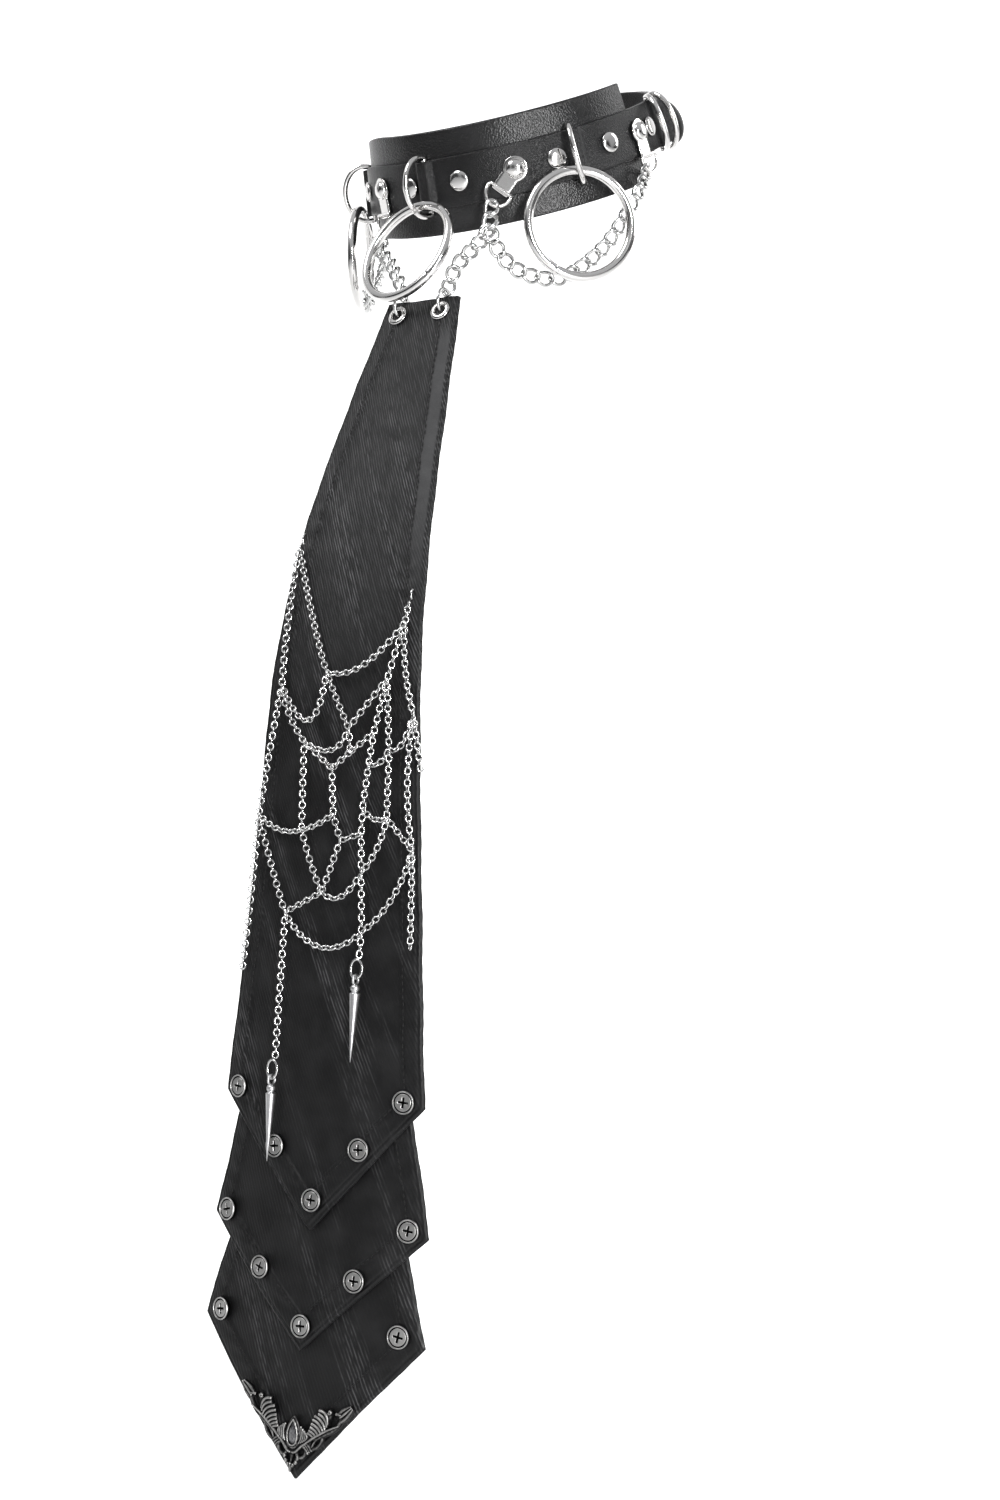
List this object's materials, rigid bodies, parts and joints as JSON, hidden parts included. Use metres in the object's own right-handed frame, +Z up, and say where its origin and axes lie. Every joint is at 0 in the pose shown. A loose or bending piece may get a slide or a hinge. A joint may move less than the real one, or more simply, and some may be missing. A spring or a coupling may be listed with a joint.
{
  "type": "chain necktie",
  "caption": "Leather collar with hanging O-rings, curb chains and a layered leather tie trimmed with a web of fine chain, spikes, buttons and a corner ornament.",
  "frame": {"origin": "centre of the collar's neck opening", "axes": "+Z up the neck, -Y out of the wearer's front, +X to the wearer's left"},
  "size_m": [0.151, 0.225, 0.5767],
  "materials": {
    "leather": "black, fine diagonal ribs, satin sheen",
    "nickel": "polished nickel plate",
    "silver": "bright silver plate",
    "steel": "satin steel",
    "antique": "antique silver, dark in the hollows",
    "stone": "polished dark grey stone"
  },
  "bodies": {
    "necktie": {"collar_band": "leather", "collar_strap": "leather", "strap_tail": "leather", "tie_front_layer": "leather", "tie_middle_layer": "leather", "tie_back_layer": "leather", "d_ring_front": "nickel", "ring_rivet_front": "nickel", "d_ring_left": "nickel", "ring_rivet_left": "nickel", "d_ring_right": "nickel", "ring_rivet_right": "nickel", "closure_d_first": "nickel", "closure_d_second": "nickel", "rivet_front": "nickel", "rivet_left": "nickel", "rivet_right": "nickel", "rivet_closure": "nickel", "tab_front_left": "nickel", "small_d_front_left": "nickel", "tab_front_right": "nickel", "small_d_front_right": "nickel", "tab_back_left": "nickel", "small_d_back_left": "nickel", "tab_back_right": "nickel", "small_d_back_right": "nickel", "eyelet_left": "nickel", "jump_ring_left": "silver", "curb_chain_left": "silver", "web_anchor_left": "silver", "spike_ring_left": "silver", "spike_left": "steel", "eyelet_right": "nickel", "jump_ring_right": "silver", "curb_chain_right": "silver", "web_anchor_right": "silver", "spike_ring_right": "silver", "spike_right": "steel", "chain_web": "silver", "button_1": "antique", "button_2": "antique", "button_3": "antique", "button_4": "antique", "button_5": "antique", "button_6": "antique", "button_7": "antique", "button_8": "antique", "button_9": "antique", "button_10": "antique", "button_11": "antique", "button_12": "antique", "corner_piece": "antique", "corner_stone": "stone"},
    "front_ring": {"o_ring_front": "nickel"},
    "left_ring": {"o_ring_left": "nickel"},
    "right_ring": {"o_ring_right": "nickel"}
  },
  "joints": [
    {"name": "front_ring_swing", "type": "hinge", "parent": "necktie", "child": "front_ring", "pos_m": [-0.00714, -0.06146, -0.03634], "axis": [-0.9877, 0.1564, 0], "range_deg": [0, 70]},
    {"name": "left_ring_swing", "type": "hinge", "parent": "necktie", "child": "left_ring", "pos_m": [0.05582, -0.03786, -0.02469], "axis": [-0.6947, -0.7193, 0], "range_deg": [0, 70]},
    {"name": "right_ring_swing", "type": "hinge", "parent": "necktie", "child": "right_ring", "pos_m": [-0.06482, -0.0233, -0.02283], "axis": [-0.4067, 0.9135, 0], "range_deg": [0, 70]}
  ]
}
